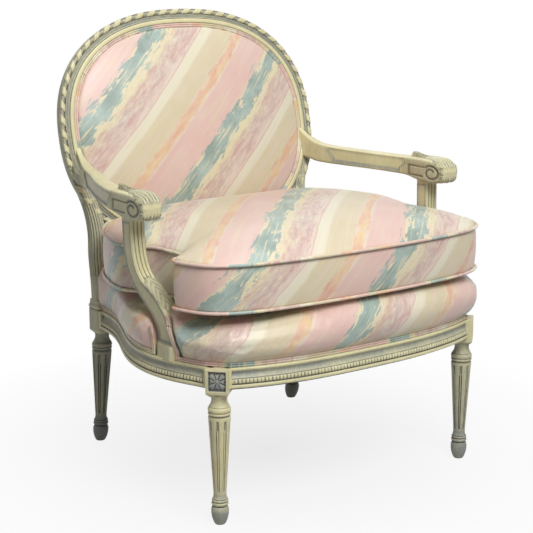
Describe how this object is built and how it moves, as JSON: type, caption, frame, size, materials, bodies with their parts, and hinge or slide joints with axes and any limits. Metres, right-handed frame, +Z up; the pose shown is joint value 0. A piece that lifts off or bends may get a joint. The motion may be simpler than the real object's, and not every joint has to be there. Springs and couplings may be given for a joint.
{
  "type": "open-arm upholstered armchair",
  "caption": "Open-arm upholstered armchair with an oval padded back, carved painted frame, turned fluted legs, sprung seat and a loose T-shaped seat cushion.",
  "frame": {"origin": "on the floor, midway between the legs", "axes": "+Z up, the chair faces -Y, +X is its left hand"},
  "size_m": [0.7488, 0.6997, 0.8947],
  "materials": {
    "painted_wood": "cream paint over carved hardwood, rubbed back and antiqued grey in the hollows, satin",
    "bare_beech": "bare beech, planed",
    "striped_satin": "printed cotton satin in slanting brushed bands of cream, rose and sea green",
    "satin_welt": "the same satin cut on the bias over cord",
    "jute": "woven jute",
    "black_cambric": "thin woven cambric",
    "spring_steel": "drawn spring wire, dull",
    "screw_steel": "zinc plated"
  },
  "bodies": {
    "frame": {"arm_dowel_left": "bare_beech", "arm_dowel_right": "bare_beech", "arm_left": "painted_wood", "arm_right": "painted_wood", "arm_support_left": "painted_wood", "arm_support_right": "painted_wood", "back_base_rail": "painted_wood", "back_pad": "striped_satin", "back_post_left": "painted_wood", "back_post_right": "painted_wood", "back_webbing_cross_1": "jute", "back_webbing_cross_2": "jute", "back_webbing_upright_1": "jute", "back_webbing_upright_2": "jute", "back_welt": "satin_welt", "base_dowel_left": "bare_beech", "base_dowel_right": "bare_beech", "corner_block_back_left": "bare_beech", "corner_block_back_right": "bare_beech", "corner_block_front_left": "bare_beech", "corner_block_front_right": "bare_beech", "corner_screw_back_left": "screw_steel", "corner_screw_back_right": "screw_steel", "corner_screw_front_left": "screw_steel", "corner_screw_front_right": "screw_steel", "crest_dowel_left": "bare_beech", "crest_dowel_right": "bare_beech", "crest_rail": "painted_wood", "dust_cover": "black_cambric", "front_leg_left": "painted_wood", "front_leg_right": "painted_wood", "outside_back_panel": "striped_satin", "seat_deck_pad": "striped_satin", "seat_rail_back": "painted_wood", "seat_rail_front": "painted_wood", "seat_rail_left": "painted_wood", "seat_rail_right": "painted_wood", "seat_spring_1": "spring_steel", "seat_spring_2": "spring_steel", "seat_spring_3": "spring_steel", "seat_spring_4": "spring_steel", "seat_spring_5": "spring_steel", "seat_spring_6": "spring_steel", "seat_spring_7": "spring_steel", "seat_spring_8": "spring_steel", "seat_spring_9": "spring_steel", "seat_webbing_cross_1": "jute", "seat_webbing_cross_2": "jute", "seat_webbing_cross_3": "jute", "seat_webbing_long_1": "jute", "seat_webbing_long_2": "jute", "seat_webbing_long_3": "jute", "seat_welt_back": "satin_welt", "seat_welt_front": "satin_welt", "seat_welt_left": "satin_welt", "seat_welt_right": "satin_welt", "spring_burlap": "jute"},
    "cushion": {"seat_cushion": "striped_satin", "cushion_welt_low": "satin_welt", "cushion_welt_high": "satin_welt"}
  },
  "joints": [
    {"name": "cushion_pull", "type": "slide", "parent": "frame", "child": "cushion", "axis": [0, -0.9063, 0.4226], "range_m": [0, 0.6]}
  ]
}
